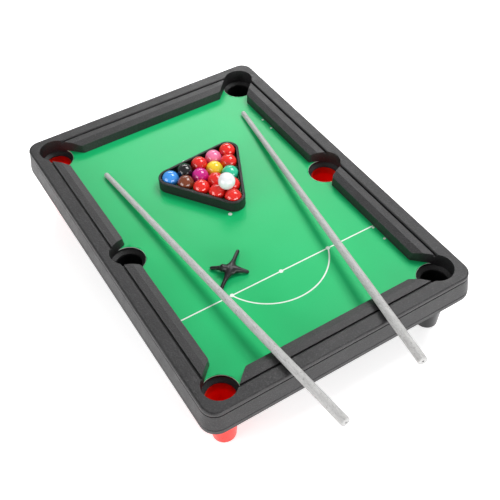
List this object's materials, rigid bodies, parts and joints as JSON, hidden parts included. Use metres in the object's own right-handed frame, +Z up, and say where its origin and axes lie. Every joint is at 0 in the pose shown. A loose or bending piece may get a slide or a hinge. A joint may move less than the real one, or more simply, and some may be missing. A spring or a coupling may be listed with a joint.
{
  "type": "mini pool table",
  "caption": "Table-top pool table: moulded frame on cup feet, green sheet, racked balls, tapered cues and a rest head.",
  "frame": {"origin": "on the ground under the middle of the table, level with the bottoms of the cup feet", "axes": "+Z up, +Y along the table towards the end with the racked balls, +X to the right of a player who looks along +Y"},
  "size_m": [0.2568, 0.4214, 0.0873],
  "materials": {
    "frame_plastic": "finely grained moulded black plastic",
    "green_sheet": "printed plastic-coated card, slightly glossy",
    "base_plastic": "moulded black plastic",
    "screw_steel": "zinc plated",
    "cup_red": "smooth red plastic",
    "cup_black": "smooth black plastic",
    "rack_plastic": "smooth black plastic",
    "cue_stick": "silver grey painted, speckled",
    "rest_plastic": "smooth black plastic",
    "cue_ball": "polished",
    "ball_red": "polished",
    "ball_blue": "polished",
    "ball_black": "polished",
    "ball_pink": "polished",
    "ball_brown": "polished",
    "ball_purple": "polished",
    "ball_yellow": "polished",
    "ball_green": "polished"
  },
  "bodies": {
    "table": {"top_frame": "frame_plastic", "playing_sheet": "green_sheet", "base_tray": "base_plastic", "base_screws": "screw_steel", "pocket_cup_near_left": "cup_red", "pocket_cup_near_right": "cup_black", "pocket_cup_middle_left": "cup_black", "pocket_cup_middle_right": "cup_red", "pocket_cup_far_left": "cup_red", "pocket_cup_far_right": "cup_black"},
    "rack": {"triangle_rack": "rack_plastic"},
    "ball_blue_body": {"ball_blue": "ball_blue"},
    "ball_black_body": {"ball_black": "ball_black"},
    "ball_pink_body": {"ball_pink": "ball_pink"},
    "ball_brown_body": {"ball_brown": "ball_brown"},
    "ball_purple_body": {"ball_purple": "ball_purple"},
    "ball_yellow_body": {"ball_yellow": "ball_yellow"},
    "ball_green_body": {"ball_green": "ball_green"},
    "ball_red_1_body": {"ball_red_1": "ball_red"},
    "ball_red_2_body": {"ball_red_2": "ball_red"},
    "ball_red_3_body": {"ball_red_3": "ball_red"},
    "ball_red_4_body": {"ball_red_4": "ball_red"},
    "ball_red_5_body": {"ball_red_5": "ball_red"},
    "ball_red_6_body": {"ball_red_6": "ball_red"},
    "ball_red_7_body": {"ball_red_7": "ball_red"},
    "ball_red_8_body": {"ball_red_8": "ball_red"},
    "cue_ball_body": {"cue_ball": "cue_ball"},
    "cue_left_body": {"cue_left": "cue_stick"},
    "cue_right_body": {"cue_right": "cue_stick"},
    "rest_head_body": {"rest_head": "rest_plastic"}
  },
  "joints": [
    {"name": "rack_lift", "type": "slide", "parent": "table", "child": "rack", "axis": [0, 0, 1], "range_m": [0, 0.045]},
    {"name": "ball_blue_lift", "type": "slide", "parent": "table", "child": "ball_blue_body", "axis": [0, 0, 1], "range_m": [0, 0.04]},
    {"name": "ball_black_lift", "type": "slide", "parent": "table", "child": "ball_black_body", "axis": [0, 0, 1], "range_m": [0, 0.04]},
    {"name": "ball_pink_lift", "type": "slide", "parent": "table", "child": "ball_pink_body", "axis": [0, 0, 1], "range_m": [0, 0.04]},
    {"name": "ball_brown_lift", "type": "slide", "parent": "table", "child": "ball_brown_body", "axis": [0, 0, 1], "range_m": [0, 0.04]},
    {"name": "ball_purple_lift", "type": "slide", "parent": "table", "child": "ball_purple_body", "axis": [0, 0, 1], "range_m": [0, 0.04]},
    {"name": "ball_yellow_lift", "type": "slide", "parent": "table", "child": "ball_yellow_body", "axis": [0, 0, 1], "range_m": [0, 0.04]},
    {"name": "ball_green_lift", "type": "slide", "parent": "table", "child": "ball_green_body", "axis": [0, 0, 1], "range_m": [0, 0.04]},
    {"name": "ball_red_1_lift", "type": "slide", "parent": "table", "child": "ball_red_1_body", "axis": [0, 0, 1], "range_m": [0, 0.04]},
    {"name": "ball_red_2_lift", "type": "slide", "parent": "table", "child": "ball_red_2_body", "axis": [0, 0, 1], "range_m": [0, 0.04]},
    {"name": "ball_red_3_lift", "type": "slide", "parent": "table", "child": "ball_red_3_body", "axis": [0, 0, 1], "range_m": [0, 0.04]},
    {"name": "ball_red_4_lift", "type": "slide", "parent": "table", "child": "ball_red_4_body", "axis": [0, 0, 1], "range_m": [0, 0.04]},
    {"name": "ball_red_5_lift", "type": "slide", "parent": "table", "child": "ball_red_5_body", "axis": [0, 0, 1], "range_m": [0, 0.04]},
    {"name": "ball_red_6_lift", "type": "slide", "parent": "table", "child": "ball_red_6_body", "axis": [0, 0, 1], "range_m": [0, 0.04]},
    {"name": "ball_red_7_lift", "type": "slide", "parent": "table", "child": "ball_red_7_body", "axis": [0, 0, 1], "range_m": [0, 0.04]},
    {"name": "ball_red_8_lift", "type": "slide", "parent": "table", "child": "ball_red_8_body", "axis": [0, 0, 1], "range_m": [0, 0.04]},
    {"name": "cue_ball_lift", "type": "slide", "parent": "ball_red_8_body", "child": "cue_ball_body", "axis": [0, 0, 1], "range_m": [0, 0.04]},
    {"name": "cue_left_lift", "type": "slide", "parent": "table", "child": "cue_left_body", "axis": [0, 0, 1], "range_m": [0, 0.04]},
    {"name": "cue_right_lift", "type": "slide", "parent": "table", "child": "cue_right_body", "axis": [0, 0, 1], "range_m": [0, 0.04]},
    {"name": "rest_head_lift", "type": "slide", "parent": "table", "child": "rest_head_body", "axis": [0, 0, 1], "range_m": [0, 0.04]}
  ],
  "couplings": [
    {"joint": "ball_red_6_lift", "follows": "ball_red_8_lift", "ratio": 1},
    {"joint": "ball_red_7_lift", "follows": "ball_red_8_lift", "ratio": 1}
  ]
}
